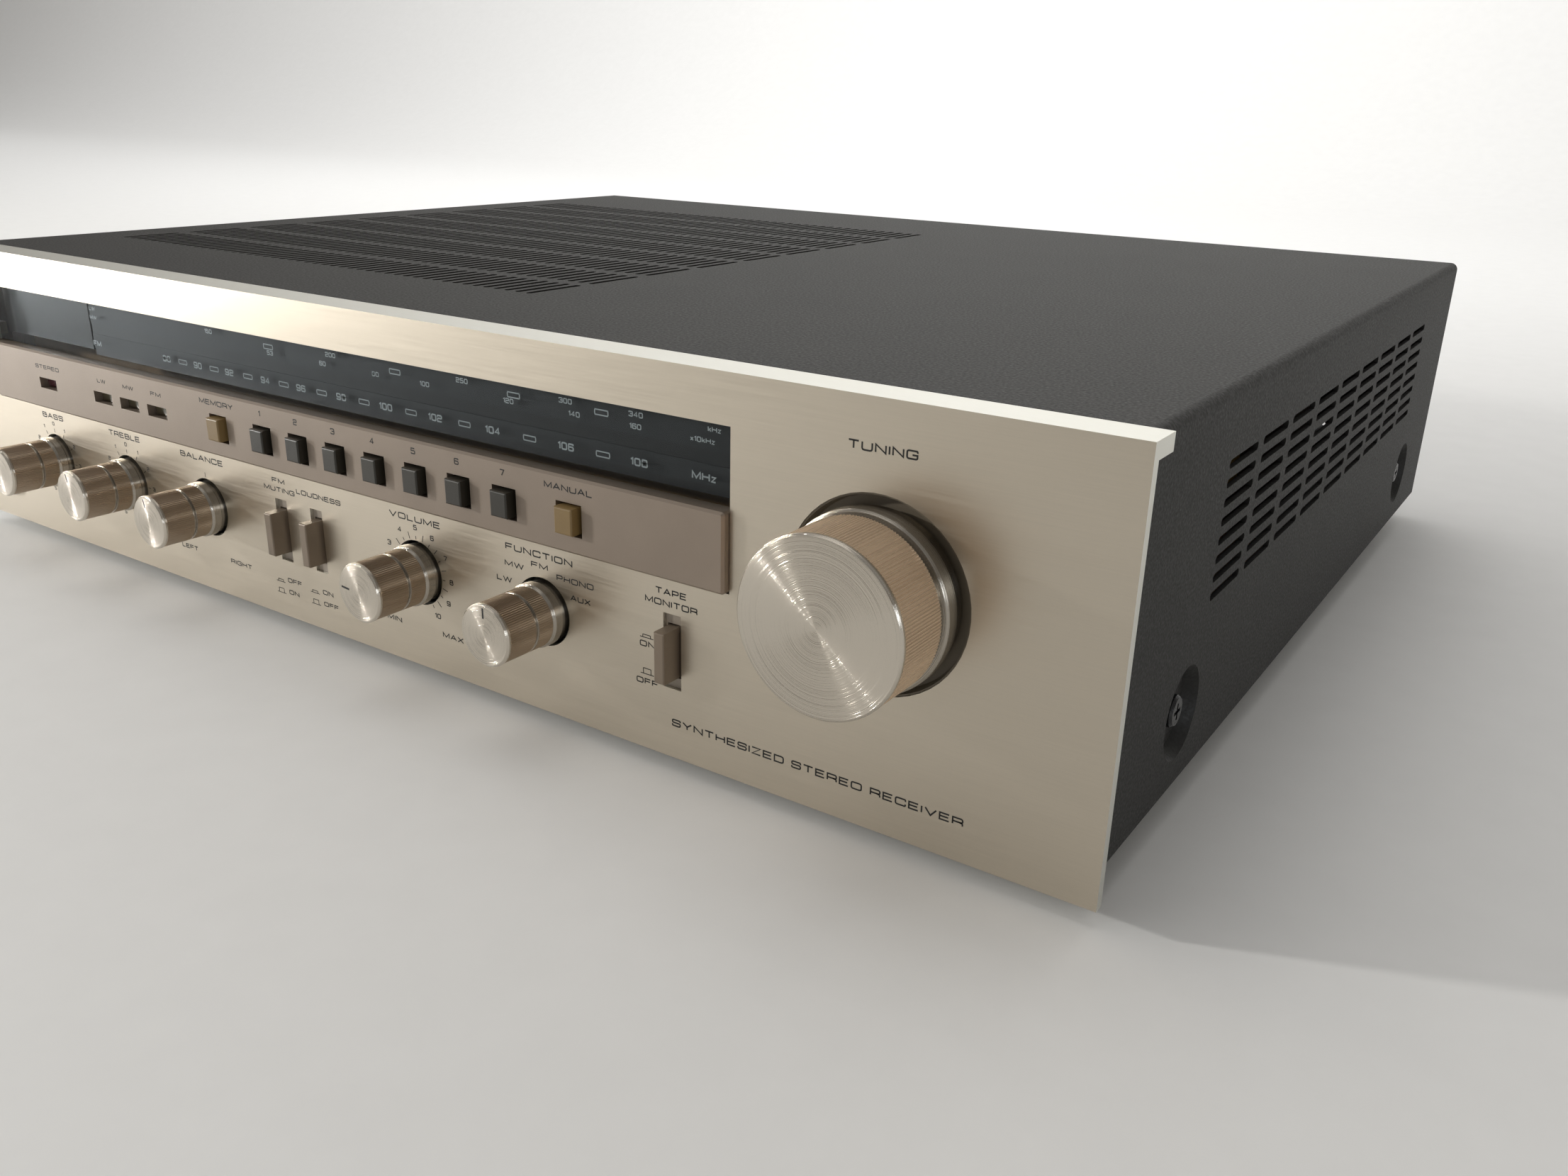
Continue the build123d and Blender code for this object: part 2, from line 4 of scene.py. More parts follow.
import bmesh
import bpy
from mathutils import Euler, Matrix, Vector


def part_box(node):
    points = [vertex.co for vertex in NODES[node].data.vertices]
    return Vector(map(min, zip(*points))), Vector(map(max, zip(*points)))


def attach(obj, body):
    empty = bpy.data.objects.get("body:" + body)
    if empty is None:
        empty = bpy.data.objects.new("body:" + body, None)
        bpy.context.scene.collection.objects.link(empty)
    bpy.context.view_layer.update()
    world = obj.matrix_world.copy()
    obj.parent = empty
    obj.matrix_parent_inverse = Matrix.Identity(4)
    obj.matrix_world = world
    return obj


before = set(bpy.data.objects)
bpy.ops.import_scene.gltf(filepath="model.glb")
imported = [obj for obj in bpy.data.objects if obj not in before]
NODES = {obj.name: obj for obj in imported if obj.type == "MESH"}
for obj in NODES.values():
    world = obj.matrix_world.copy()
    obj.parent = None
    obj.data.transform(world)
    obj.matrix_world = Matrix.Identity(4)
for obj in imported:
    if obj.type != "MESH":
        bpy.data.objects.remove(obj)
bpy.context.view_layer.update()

MM = 0.001
PANEL_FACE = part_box("front_panel")[0].y
SUB_PANEL_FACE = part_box("sub_panel")[0].y
GLASS_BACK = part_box("dial_glass")[1].y
REAR_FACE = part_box("rear_panel")[1].y
SMALL_KNOBS = ("bass", "treble", "balance", "volume", "function")
PRESETS = [f"preset_button_{number}" for number in range(1, 8)]


def centre_of(node):
    low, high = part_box(node)
    return (low + high) / 2


# Materials: every one is a node tree with its own grain, speckle or lathe marks

class Look:
    """A Principled material with small helpers for its node tree. Texture space is metres."""

    def __init__(self, name, colour, roughness, metallic=0.0):
        self.material = bpy.data.materials.new(name)
        self.material.use_nodes = True
        self.tree = self.material.node_tree
        self.shader = self.tree.nodes["Principled BSDF"]
        self.shader.inputs["Base Color"].default_value = (*colour, 1)
        self.shader.inputs["Roughness"].default_value = roughness
        self.shader.inputs["Metallic"].default_value = metallic
        self.place = self.node("ShaderNodeTexCoord").outputs["Object"]

    def node(self, kind, **settings):
        made = self.tree.nodes.new(kind)
        for key, value in settings.items():
            setattr(made, key, value)
        return made

    def link(self, source, target):
        self.tree.links.new(source, target)

    def noise(self, scale, stretch=(1, 1, 1), detail=3.0):
        mapping = self.node("ShaderNodeMapping")
        mapping.inputs["Scale"].default_value = stretch
        self.link(self.place, mapping.inputs["Vector"])
        noise = self.node("ShaderNodeTexNoise")
        noise.inputs["Scale"].default_value = scale
        noise.inputs["Detail"].default_value = detail
        self.link(mapping.outputs["Vector"], noise.inputs["Vector"])
        return noise.outputs["Fac"]

    def spread(self, fac, low, high, bottom=0.3, top=0.7):
        """Takes a signal's stretch from bottom to top to the range from low to high."""
        remap = self.node("ShaderNodeMapRange")
        for socket, value in zip(("From Min", "From Max", "To Min", "To Max"), (bottom, top, low, high)):
            remap.inputs[socket].default_value = value
        self.link(fac, remap.inputs["Value"])
        return remap.outputs["Result"]

    def colours(self, fac, dark, light, low=0.3, high=0.7):
        ramp = self.node("ShaderNodeValToRGB")
        first, last = ramp.color_ramp.elements
        first.position, last.position = low, high
        first.color, last.color = (*dark, 1), (*light, 1)
        self.link(fac, ramp.inputs["Fac"])
        self.link(ramp.outputs["Color"], self.shader.inputs["Base Color"])
        return self

    def rough(self, fac, low, high):
        self.link(self.spread(fac, low, high), self.shader.inputs["Roughness"])
        return self

    def bump(self, fac, depth_mm, strength=1.0):
        bump = self.node("ShaderNodeBump")
        bump.inputs["Strength"].default_value = strength
        bump.inputs["Distance"].default_value = depth_mm * MM
        self.link(fac, bump.inputs["Height"])
        before = self.shader.inputs["Normal"]
        if before.links:
            self.link(before.links[0].from_socket, bump.inputs["Normal"])
        self.link(bump.outputs["Normal"], before)
        return self

    def set(self, **values):
        for name, value in values.items():
            self.shader.inputs[name.replace("_", " ")].default_value = value
        return self


def scaled(colour, factor):
    return tuple(min(1.0, channel * factor) for channel in colour)


def brushed(name, colour, roughness=0.36, along="X", contrast=0.07):
    """Metal with fine straight brushing along one axis."""
    look = Look(name, colour, roughness, 1.0)
    stretch = {"X": (1, 60, 60), "Y": (60, 1, 60), "Z": (60, 60, 1)}[along]
    fine = look.noise(55, stretch, 6)
    broad = look.noise(3.5)
    mixed = look.node("ShaderNodeMath", operation="MULTIPLY_ADD")
    look.link(broad, mixed.inputs[0])
    mixed.inputs[1].default_value = 0.35
    look.link(look.spread(fine, 0.0, 0.65), mixed.inputs[2])
    look.colours(mixed.outputs[0], scaled(colour, 1 - contrast), scaled(colour, 1 + contrast), 0.1, 0.9)
    look.rough(fine, roughness - 0.05, roughness + 0.06)
    look.bump(fine, 0.004, 0.25)
    return look


# Sockets of the mix node's colour inputs and result, which share their names with its other types
MIX_COLOUR_A, MIX_COLOUR_B, MIX_COLOUR_RESULT = 6, 7, 2


def cut_edges(look, colour):
    """Gives faces that do not look along Y, the sawn and milled edges of a plate, a paler colour, partly
    for the bare cut metal and partly as painted highlight where light catches these faces.
    """
    facing = look.node("ShaderNodeSeparateXYZ")
    look.link(look.node("ShaderNodeNewGeometry").outputs["Normal"], facing.inputs[0])
    square = look.node("ShaderNodeMath", operation="MULTIPLY")
    look.link(facing.outputs["Y"], square.inputs[0])
    look.link(facing.outputs["Y"], square.inputs[1])
    # Painted highlight, partly bare metal: faces edge-on to Y take the paler colour
    blend = look.node("ShaderNodeMix", data_type="RGBA")
    base = look.shader.inputs["Base Color"]
    look.link(square.outputs[0], blend.inputs["Factor"])
    blend.inputs[MIX_COLOUR_A].default_value = (*colour, 1)
    look.link(base.links[0].from_socket, blend.inputs[MIX_COLOUR_B])
    look.link(blend.outputs[MIX_COLOUR_RESULT], base)
    return look


# Depths behind a knob's front rim, in mm, between which its face turns into its body, painted darker as a
# reflection
KNOB_BODY_START, KNOB_BODY_END = 1.0, 1.3
# Painted reflection: the body's colour is scaled by this to stand for the dim brown surroundings it mirrors
KNOB_BODY_PAINTED_REFLECTION = 0.72


def spun(name, colour, centre, roughness=0.17):
    """Lathe-turned metal: fine rings about an axis along Y fan highlights out, and the body is painted
    darker as a reflection of dim brown surroundings.
    """
    look = Look(name, colour, roughness, 1.0)
    offset = look.node("ShaderNodeVectorMath", operation="SUBTRACT")
    offset.inputs[1].default_value = centre
    look.link(look.place, offset.inputs[0])
    split = look.node("ShaderNodeSeparateXYZ")
    look.link(offset.outputs[0], split.inputs[0])
    flat = look.node("ShaderNodeCombineXYZ")
    look.link(split.outputs["X"], flat.inputs["X"])
    look.link(split.outputs["Z"], flat.inputs["Z"])
    radius = look.node("ShaderNodeVectorMath", operation="LENGTH")
    look.link(flat.outputs[0], radius.inputs[0])
    travel = look.node("ShaderNodeMath", operation="ADD")
    look.link(radius.outputs["Value"], travel.inputs[0])
    look.link(split.outputs["Y"], travel.inputs[1])
    rings = look.node("ShaderNodeTexNoise", noise_dimensions="1D")
    rings.inputs["Scale"].default_value = 5200
    rings.inputs["Detail"].default_value = 2
    look.link(travel.outputs[0], rings.inputs["W"])
    fac = rings.outputs["Fac"]
    # Painted reflection: behind the rim the colour turns darker
    body = look.spread(split.outputs["Y"], 0.0, 1.0, KNOB_BODY_START * MM, KNOB_BODY_END * MM)
    look.colours(body, colour, scaled(colour, KNOB_BODY_PAINTED_REFLECTION))
    look.rough(fac, roughness - 0.03, roughness + 0.05)
    look.bump(fac, 0.07, 1.0)
    look.set(Anisotropic=0.95, Anisotropic_Rotation=0.25)
    tangent = look.node("ShaderNodeTangent", direction_type="RADIAL", axis="Y")
    look.link(tangent.outputs["Tangent"], look.shader.inputs["Tangent"])
    return look


def plastic(name, colour, roughness=0.45, grain=2600, grain_mm=0.02, variation=0.08):
    """Moulded plastic: spark-eroded grain and a slight unevenness of colour."""
    look = Look(name, colour, roughness)
    fine = look.noise(grain, detail=2)
    broad = look.noise(70, detail=4)
    look.colours(broad, scaled(colour, 1 - variation), scaled(colour, 1 + variation))
    look.rough(fine, roughness - 0.06, roughness + 0.08)
    look.bump(fine, grain_mm, 0.35)
    return look


def textured_paint(name, colour):
    """Charcoal wrinkle coating on sheet steel, a little dusty."""
    look = Look(name, colour, 0.62)
    grains = look.noise(1500, detail=3)
    cells = look.node("ShaderNodeTexVoronoi", feature="SMOOTH_F1")
    cells.inputs["Scale"].default_value = 1100
    look.link(look.place, cells.inputs["Vector"])
    dust = look.noise(38, detail=9)
    look.colours(dust, scaled(colour, 0.84), scaled(colour, 1.2), 0.25, 0.75)
    look.rough(grains, 0.5, 0.72)
    look.bump(cells.outputs["Distance"], 0.09, 0.55)
    look.bump(grains, 0.05, 0.5)
    return look.set(Specular_IOR_Level=0.4)


# Share of reflection seen straight on and edge on, and how late it rises between the two
WINDOW_SHEEN, WINDOW_EDGE_SHEEN, WINDOW_RISE = 0.01, 0.085, 4.0


def tinted_window(name, tint, gloss=0.05):
    """Clear smoked acrylic: see-through, darkened, with a glossy skin."""
    look = Look(name, tint, gloss)
    smear = look.noise(26, detail=5)
    through = look.node("ShaderNodeBsdfTransparent")
    through.inputs["Color"].default_value = (*tint, 1)
    sheen = look.node("ShaderNodeBsdfGlossy")
    look.link(look.spread(smear, gloss, gloss + 0.05), sheen.inputs["Roughness"])
    grazing = look.node("ShaderNodeLayerWeight")
    rise = look.node("ShaderNodeMath", operation="POWER")
    look.link(grazing.outputs["Facing"], rise.inputs[0])
    rise.inputs[1].default_value = WINDOW_RISE
    mix = look.node("ShaderNodeMixShader")
    look.link(look.spread(rise.outputs[0], WINDOW_SHEEN, WINDOW_EDGE_SHEEN, 0, 1), mix.inputs["Fac"])
    look.link(through.outputs["BSDF"], mix.inputs[1])
    look.link(sheen.outputs["BSDF"], mix.inputs[2])
    output = look.tree.nodes["Material Output"]
    look.link(mix.outputs["Shader"], output.inputs["Surface"])
    return look


def laminated(name):
    """Stack of varnished steel sheets, with the sheets' edges as fine lines along Y."""
    look = Look(name, (0.12, 0.1, 0.085), 0.45, 0.6)
    sheets = look.noise(1, (2, 1900, 2), 1)
    look.colours(sheets, (0.06, 0.05, 0.045), (0.2, 0.17, 0.14))
    return look.bump(sheets, 0.1, 0.6)


def mixed_parts(name):
    """Small board parts, each with its own colour: black, blue, tan and green."""
    look = Look(name, (0.05, 0.05, 0.06), 0.35)
    cells = look.node("ShaderNodeTexVoronoi")
    cells.inputs["Scale"].default_value = 55
    look.link(look.place, cells.inputs["Vector"])
    split = look.node("ShaderNodeSeparateColor")
    look.link(cells.outputs["Color"], split.inputs["Color"])
    ramp = look.node("ShaderNodeValToRGB")
    ramp.color_ramp.interpolation = "CONSTANT"
    blue, tan, green = (0.02, 0.05, 0.22, 1), (0.3, 0.19, 0.08, 1), (0.04, 0.16, 0.07, 1)
    for position, colour in ((0.35, blue), (0.6, tan), (0.8, green)):
        ramp.color_ramp.elements.new(position).color = colour
    ramp.color_ramp.elements[0].color = (0.02, 0.02, 0.02, 1)
    look.link(split.outputs["Red"], ramp.inputs["Fac"])
    look.link(ramp.outputs["Color"], look.shader.inputs["Base Color"])
    return look.bump(look.noise(900), 0.02, 0.3)


# Between the leftmost lamp and the next, as x in mm
LAMP_COLOUR_TURN = (-140, -134)


def lamp_lenses(name):
    """Unlit indicator lenses: burgundy for the leftmost, olive brown for the others."""
    look = Look(name, (0.1, 0.02, 0.03), 0.22)
    split = look.node("ShaderNodeSeparateXYZ")
    look.link(look.place, split.inputs[0])
    left, right = LAMP_COLOUR_TURN
    side = look.spread(split.outputs["X"], 0.0, 1.0, left * MM, right * MM)
    look.colours(side, (0.11, 0.018, 0.035), (0.1, 0.085, 0.045), 0.1, 0.9)
    return look.bump(look.noise(1800), 0.01, 0.3).set(Coat_Weight=0.4)


def paint(look, *nodes):
    for name in nodes:
        mesh = NODES[name].data
        mesh.materials.clear()
        mesh.materials.append(look.material)


CHAMPAGNE = (0.58, 0.522, 0.432)
# Paler colour of the plate's cut edges and top, partly bare cut metal and partly painted highlight
CUT_EDGE_PAINTED_HIGHLIGHT = (0.86, 0.85, 0.78)
KNOB_METAL = (0.60, 0.55, 0.475)
INK = plastic("ink", (0.009, 0.0085, 0.008), 0.6)
DIAL_INK = plastic("dial_ink", (0.62, 0.66, 0.66), 0.5)
TUNING_KNURL = brushed("tuning_knurl_metal", (0.82, 0.64, 0.47), 0.28, "Y", 0.04).set(Metallic=0.6)
SMALL_KNURL = brushed("small_knurl_metal", (0.46, 0.37, 0.285), 0.32, "Y", 0.04)

paint(cut_edges(brushed("panel_metal", CHAMPAGNE, 0.36, contrast=0.03), CUT_EDGE_PAINTED_HIGHLIGHT), "front_panel")
paint(plastic("bezel_metallic", (0.295, 0.24, 0.192), 0.42, 3200, 0.012, 0.04).set(Metallic=0.35),
      "sub_panel")
paint(tinted_window("smoked_window", (0.83, 0.85, 0.86)), "dial_glass")
paint(plastic("dial_black", (0.009, 0.0095, 0.0095), 0.4, grain_mm=0.002), "dial_scale")
paint(plastic("display_glass", (0.022, 0.026, 0.029), 0.18, grain_mm=0.002), "frequency_display")
paint(lamp_lenses("lamp_lenses"), "led_indicators")
paint(plastic("recess_grey", (0.18, 0.15, 0.108), 0.5), "tuning_recess")
paint(plastic("surround_brown", (0.35, 0.3, 0.245), 0.4), "lever_surrounds")
paint(brushed("nickel", (0.72, 0.7, 0.66), 0.2, "Y"), "headphone_jack", "phono_jacks")
paint(textured_paint("case_coating", (0.0155, 0.0145, 0.0125)), "top_cover")
paint(plastic("screw_enamel", (0.012, 0.013, 0.015), 0.22, 900, 0.3), "case_screws")
paint(brushed("zinc_sheet", (0.6, 0.6, 0.57), 0.4, "Y", 0.12), "chassis_tray", "front_chassis")
paint(textured_paint("rear_coating", (0.03, 0.03, 0.03)), "rear_panel")
paint(plastic("foot_rubber", (0.018, 0.018, 0.018), 0.75, 1400, 0.05), "feet", "mains_gland")
paint(brushed("pot_steel", (0.6, 0.59, 0.55), 0.33, "Y"), "potentiometers", "tuning_encoder")
paint(plastic("black_moulding", (0.022, 0.022, 0.022), 0.4), "function_switch", "push_switches",
      "speaker_sockets", "antenna_terminals", "fuse_holder")
paint(plastic("phenolic_board", (0.33, 0.19, 0.07), 0.5, 1200, 0.03, 0.15), "control_board",
      "amplifier_board", "tuner_board")
paint(plastic("white_nylon", (0.75, 0.74, 0.7), 0.4), "board_standoffs")
paint(mixed_parts("board_parts"), "board_components")
paint(plastic("capacitor_sleeve", (0.015, 0.03, 0.1), 0.3), "filter_capacitors")
paint(brushed("tin_plate", (0.65, 0.65, 0.62), 0.28, "X", 0.12), "tuner_shield")
paint(brushed("black_anodised", (0.05, 0.05, 0.05), 0.4, "Z"), "heat_sink")
paint(plastic("epoxy", (0.02, 0.02, 0.022), 0.5), "output_transistors")
paint(laminated("laminations"), "transformer_core")
paint(plastic("winding_tape", (0.6, 0.42, 0.12), 0.35, 400, 0.1), "transformer_winding")
paint(plastic("lever_tan", (0.25, 0.198, 0.148), 0.36).set(Metallic=0.25), "fm_muting_button",
      "loudness_button", "tape_monitor_button", "power_button")
paint(plastic("preset_dark", (0.028, 0.0245, 0.0165), 0.4), *PRESETS)
paint(plastic("button_tan", (0.26, 0.172, 0.066), 0.4), "memory_button", "manual_button")
paint(brushed("shaft_steel", (0.6, 0.6, 0.58), 0.25, "Y"), "tuning_shaft",
      *(f"{name}_shaft" for name in SMALL_KNOBS))
for knob in ("tuning", *SMALL_KNOBS):
    middle = centre_of(f"{knob}_knob")
    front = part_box(f"{knob}_knob")[0].y
    paint(spun(f"{knob}_metal", KNOB_METAL, (middle.x, front, middle.z)), f"{knob}_knob")


# Building pieces

def add_piece(name, mesh, look, body):
    piece = bpy.data.objects.new(name, mesh)
    bpy.context.scene.collection.objects.link(piece)
    mesh.materials.clear()
    mesh.materials.append(look.material)
    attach(piece, body)
    return piece


def piece_from(bm, name, look, body):
    bmesh.ops.recalc_face_normals(bm, faces=bm.faces)
    mesh = bpy.data.meshes.new(name)
    bm.to_mesh(mesh)
    bm.free()
    return add_piece(name, mesh, look, body)


def add_bar(bm, start, end, width, y, thickness):
    """Flat bar in a plane facing -Y, from start to end, each (x, z) in millimetres."""
    a, b = Vector((start[0], 0, start[1])), Vector((end[0], 0, end[1]))
    along = (b - a).normalized()
    side = Vector((-along.z, 0, along.x)) * width / 2
    corners = []
    for depth in (0.0, thickness):
        for point, sign in ((a, 1), (a, -1), (b, -1), (b, 1)):
            spot = (point + side * sign) * MM
            corners.append(bm.verts.new((spot.x, y - depth * MM, spot.z)))
    for face in ((0, 1, 2, 3), (7, 6, 5, 4), (0, 4, 5, 1), (1, 5, 6, 2), (2, 6, 7, 3), (3, 7, 4, 0)):
        bm.faces.new([corners[i] for i in face])


def add_frame(bm, centre, size, line, y, thickness=0.03):
    """Hollow rectangle of four bars."""
    x, z = centre
    w, h = size[0] / 2, size[1] / 2
    trim = line / 2
    add_bar(bm, (x - w, z + h), (x + w, z + h), line, y, thickness)
    add_bar(bm, (x - w, z - h), (x + w, z - h), line, y, thickness)
    add_bar(bm, (x - w, z - h + trim), (x - w, z + h - trim), line, y, thickness)
    add_bar(bm, (x + w, z - h + trim), (x + w, z + h - trim), line, y, thickness)


# Wide square-shouldered alphabet drawn with strokes, in units of the capital height. A glyph is its width
# and its strokes. A point is (x, z) or (x, z, corner radius). A stroke that ends where it began is closed.
BOX = ((0, 0.5), (0, 1, 0.28), (1.25, 1, 0.28), (1.25, 0, 0.28), (0, 0, 0.28), (0, 0.5))
GLYPHS = {
    "A": (1.3, (((0, 0), (0.65, 1), (1.3, 0)), ((0.22, 0.32), (1.08, 0.32)))),
    "B": (1.15, (((0, 0), (0, 1), (1.05, 1, 0.2), (1.05, 0.53, 0.2), (0, 0.53)),
                 ((0.85, 0.53), (1.15, 0.53, 0.2), (1.15, 0, 0.2), (0, 0)))),
    "C": (1.2, (((1.2, 0.7), (1.2, 1, 0.26), (0, 1, 0.26), (0, 0, 0.26), (1.2, 0, 0.26),
                 (1.2, 0.3)),)),
    "D": (1.2, (((0, 0), (0, 1), (1.2, 1, 0.3), (1.2, 0, 0.3), (0, 0)),)),
    "E": (1.1, (((1.1, 1), (0, 1), (0, 0), (1.1, 0)), ((0, 0.52), (1.0, 0.52)))),
    "F": (1.1, (((1.1, 1), (0, 1), (0, 0)), ((0, 0.5), (1.0, 0.5)))),
    "G": (1.2, (((1.2, 0.74), (1.2, 1, 0.26), (0, 1, 0.26), (0, 0, 0.26), (1.2, 0, 0.22),
                 (1.2, 0.48), (0.62, 0.48)),)),
    "H": (1.2, (((0, 0), (0, 1)), ((1.2, 0), (1.2, 1)), ((0, 0.52), (1.2, 0.52)))),
    "I": (0.0, (((0, 0), (0, 1)),)),
    "K": (1.1, (((0, 0), (0, 1)), ((1.1, 1), (0.05, 0.45)), ((0.35, 0.6), (1.1, 0)))),
    "L": (1.0, (((0, 1), (0, 0), (1.0, 0)),)),
    "M": (1.4, (((0, 0), (0, 1), (0.7, 0.12), (1.4, 1), (1.4, 0)),)),
    "N": (1.2, (((0, 0), (0, 1), (1.2, 0), (1.2, 1)),)),
    "O": (1.25, (BOX,)),
    "P": (1.15, (((0, 0), (0, 1), (1.15, 1, 0.25), (1.15, 0.42, 0.25), (0, 0.42)),)),
    "R": (1.15, (((0, 0), (0, 1), (1.15, 1, 0.25), (1.15, 0.44, 0.25), (0, 0.44)),
                 ((0.7, 0.44), (1.15, 0.38, 0.2), (1.15, 0)))),
    "S": (1.15, (((1.15, 0.72), (1.15, 1, 0.25), (0, 1, 0.25), (0, 0.52, 0.22), (1.15, 0.52, 0.22),
                  (1.15, 0, 0.25), (0, 0, 0.25), (0, 0.28)),)),
    "T": (1.2, (((0, 1), (1.2, 1)), ((0.6, 1), (0.6, 0)))),
    "U": (1.2, (((0, 1), (0, 0, 0.3), (1.2, 0, 0.3), (1.2, 1)),)),
    "V": (1.3, (((0, 1), (0.65, 0), (1.3, 1)),)),
    "W": (1.8, (((0, 1), (0.45, 0), (0.9, 0.95), (1.35, 0), (1.8, 1)),)),
    "X": (1.25, (((0, 1), (1.25, 0)), ((0, 0), (1.25, 1)))),
    "Y": (1.25, (((0, 1), (0.62, 0.48), (1.25, 1)), ((0.62, 0.48), (0.62, 0)))),
    "Z": (1.15, (((0, 1), (1.15, 1), (0, 0), (1.15, 0)),)),
    "k": (0.7, (((0, 0), (0, 1)), ((0.7, 0.68), (0.05, 0.28)), ((0.25, 0.4), (0.75, 0)))),
    "x": (0.7, (((0, 0.68), (0.7, 0)), ((0, 0), (0.7, 0.68)))),
    "z": (0.7, (((0, 0.68), (0.7, 0.68), (0, 0), (0.7, 0)),)),
    "0": (0.95, (((0, 0.5), (0, 1, 0.25), (0.95, 1, 0.25), (0.95, 0, 0.25), (0, 0, 0.25),
                  (0, 0.5)),)),
    "1": (0.35, (((0, 0.78), (0.35, 1), (0.35, 0)),)),
    "2": (0.95, (((0, 0.75), (0, 1, 0.22), (0.95, 1, 0.22), (0.95, 0.52, 0.2), (0, 0.52, 0.2),
                  (0, 0), (0.95, 0)),)),
    "3": (0.95, (((0, 0.78), (0, 1, 0.22), (0.95, 1, 0.22), (0.95, 0, 0.22), (0, 0, 0.22),
                  (0, 0.22)),
                 ((0.3, 0.52), (0.95, 0.52)))),
    "4": (0.98, (((0.72, 0), (0.72, 1), (0, 0.28), (0.98, 0.28)),)),
    "5": (0.95, (((0.92, 1), (0.05, 1), (0, 0.56), (0.95, 0.56, 0.22), (0.95, 0, 0.22),
                  (0, 0, 0.22), (0, 0.2)),)),
    "6": (0.95, (((0.95, 0.8), (0.95, 1, 0.22), (0, 1, 0.22), (0, 0, 0.22), (0.95, 0, 0.22),
                  (0.95, 0.56, 0.22), (0, 0.56)),)),
    "7": (0.95, (((0, 1), (0.95, 1), (0.35, 0)),)),
    "8": (0.95, (((0, 0.26), (0, 0.52, 0.2), (0.95, 0.52, 0.2), (0.95, 0, 0.22), (0, 0, 0.22), (0, 0.26)),
                 ((0.05, 0.76), (0.05, 1, 0.2), (0.9, 1, 0.2), (0.9, 0.52, 0.2), (0.05, 0.52, 0.2),
                  (0.05, 0.76)))),
    "9": (0.95, (((0, 0.2), (0, 0, 0.22), (0.95, 0, 0.22), (0.95, 1, 0.22), (0, 1, 0.22), (0, 0.44, 0.22),
                  (0.95, 0.44)),)),
}
LETTER_GAP = 0.42
WORD_GAP = 0.75
STROKE = 0.19
INK_DEPTH = 0.02
CORNER_STEPS = 4
MITRE_LIMIT = 1.7


def rounded(points):
    """The stroke's points with each corner that has a radius turned into a short arc."""
    path = []
    for i, point in enumerate(points):
        spot = Vector(point[:2])
        if len(point) == 2 or not 0 < i < len(points) - 1:
            path.append(spot)
            continue
        before = Vector(points[i - 1][:2]) - spot
        after = Vector(points[i + 1][:2]) - spot
        reach = min(point[2], before.length * 0.5, after.length * 0.5)
        start, end = spot + before.normalized() * reach, spot + after.normalized() * reach
        for step in range(CORNER_STEPS + 1):
            t = step / CORNER_STEPS
            path.append(start * (1 - t) ** 2 + spot * 2 * t * (1 - t) + end * t * t)
    return path


def stroke_sides(path, width, closed):
    """Left and right edges of a stroke of one width along a path, with mitred corners."""
    left, right = [], []
    last = len(path) - 1
    for i, spot in enumerate(path):
        into = spot - path[i - 1] if i else (path[1] - spot if not closed else spot - path[last - 1])
        out = path[i + 1] - spot if i < last else (into if not closed else path[1] - spot)
        into, out = into.normalized(), out.normalized()
        normal = Vector((-into.y - out.y, into.x + out.x))
        normal = normal.normalized() if normal.length > 1e-6 else Vector((-into.y, into.x))
        spread = max(1 / MITRE_LIMIT, normal.dot(Vector((-into.y, into.x))))
        left.append(spot + normal * (width / 2 / spread))
        right.append(spot - normal * (width / 2 / spread))
    return left, right


def add_stroke(bm, path, width, closed, place, thickness):
    """Raised band along a path; place turns (x, z, height) in mm into a point in metres."""
    left, right = stroke_sides(path, width, closed)
    if closed:
        left, right = left[:-1], right[:-1]
    rings = []
    for a, b in zip(left, right):
        rings.append([bm.verts.new(place(spot.x, spot.y, height))
                      for spot, height in ((a, 0), (a, thickness), (b, thickness), (b, 0))])
    if closed:
        rings.append(rings[0])
    else:
        bm.faces.new(rings[0])
        bm.faces.new(rings[-1][::-1])
    for first, second in zip(rings, rings[1:]):
        for i in range(4):
            j = (i + 1) % 4
            bm.faces.new((first[i], second[i], second[j], first[j]))


def text_width(text):
    """Width of a line of text between its first and last stroke centres, in capital heights."""
    letters = [GLYPHS[letter][0] for letter in text if letter != " "]
    return sum(letters) + LETTER_GAP * (len(letters) - 1) + WORD_GAP * text.count(" ")


def add_text(bm, text, x, z, cap, y, width=None, weight=STROKE, back=False):
    """Text in a plane facing -Y, or +Y for the back, centred on x and z, with capitals cap mm high."""
    stroke = cap * weight
    rise = cap - stroke
    natural = text_width(text) * rise
    stretch = (width - stroke) / natural if width else 1.0
    sign = -1 if back else 1
    cursor = -natural * stretch / 2

    def place(px, pz, height):
        return ((x + sign * px) * MM, y - sign * height * MM, (z + pz) * MM)

    for letter in text:
        if letter == " ":
            cursor += WORD_GAP * rise * stretch
            continue
        advance, strokes = GLYPHS[letter]
        for points in strokes:
            path = [Vector((cursor + spot.x * rise * stretch, (spot.y - 0.5) * rise))
                    for spot in rounded(points)]
            closed = points[0][:2] == points[-1][:2]
            add_stroke(bm, path, stroke, closed, place, INK_DEPTH)
        cursor += (advance + LETTER_GAP) * rise * stretch


def clock(centre, radius, degrees):
    """Point on a dial at an angle turned clockwise from the top."""
    angle = math.radians(degrees)
    return (centre[0] + radius * math.sin(angle), centre[1] + radius * math.cos(angle))


def knob_centre(name):
    middle = centre_of(f"{name}_knob")
    return (middle.x / MM, middle.z / MM)


# Lettering on the front panel: text, centre x, centre z, capital height and width in mm

